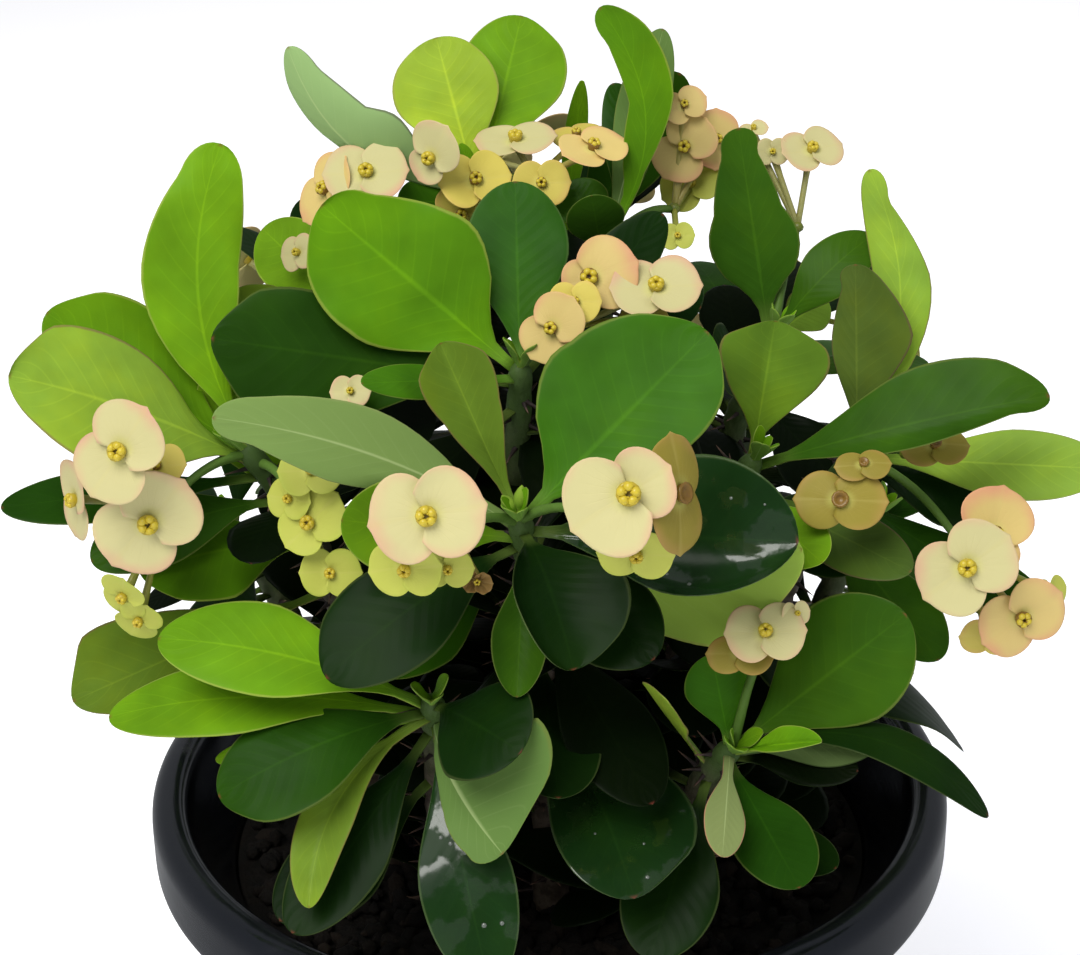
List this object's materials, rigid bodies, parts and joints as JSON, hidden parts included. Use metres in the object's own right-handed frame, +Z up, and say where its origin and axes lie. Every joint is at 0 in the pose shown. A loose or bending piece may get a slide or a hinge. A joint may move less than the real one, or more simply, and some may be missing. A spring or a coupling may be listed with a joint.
{
  "type": "potted crown of thorns plant",
  "caption": "Flowering crown of thorns plant with thorny woody stems, broad waxy leaves and paired cream bracts, growing in a round nursery pot with a rolled rim.",
  "frame": {"origin": "centre of the pot's underside, where the plant rests", "axes": "+Z up along the pot's axis, -Y towards the front, which is the side with the large drooping leaves, +X to the right seen from the front"},
  "size_m": [0.2902, 0.2791, 0.4305],
  "materials": {
    "pot": "gloss",
    "soil": "matte",
    "foliage": "satin",
    "bracts": "matte"
  },
  "bodies": {
    "root": {"pot": "pot", "soil": "soil", "leafy_stem_back": "foliage", "leafy_stem_back_left": "foliage", "leafy_stem_back_right": "foliage", "leafy_stem_far_right": "foliage", "leafy_stem_front": "foliage", "leafy_stem_front_left": "foliage", "leafy_stem_front_right": "foliage", "leafy_stem_left": "foliage", "leafy_stem_low_back": "foliage", "leafy_stem_low_back_right": "foliage", "leafy_stem_middle": "foliage", "leafy_stem_right": "foliage", "leafy_stem_side_left": "foliage", "leafy_stem_side_right": "foliage", "leafy_stem_top": "foliage", "leafy_stem_top_left": "foliage", "leafy_stem_top_right": "foliage", "leafy_stem_upper_left": "foliage", "flowers_back": "bracts", "flowers_back_left": "bracts", "flowers_back_right": "bracts", "flowers_front_left": "bracts", "flowers_front_right": "bracts", "flowers_left_inner": "bracts", "flowers_left_outer": "bracts", "flowers_low_back": "bracts", "flowers_low_back_right": "bracts", "flowers_low_right": "bracts", "flowers_middle": "bracts", "flowers_right_high": "bracts", "flowers_right_inner": "bracts", "flowers_right_outer": "bracts", "flowers_top_centre": "bracts", "flowers_top_far": "bracts", "flowers_top_left": "bracts", "flowers_top_right": "bracts", "flowers_upper_left": "bracts"}
  },
  "joints": []
}
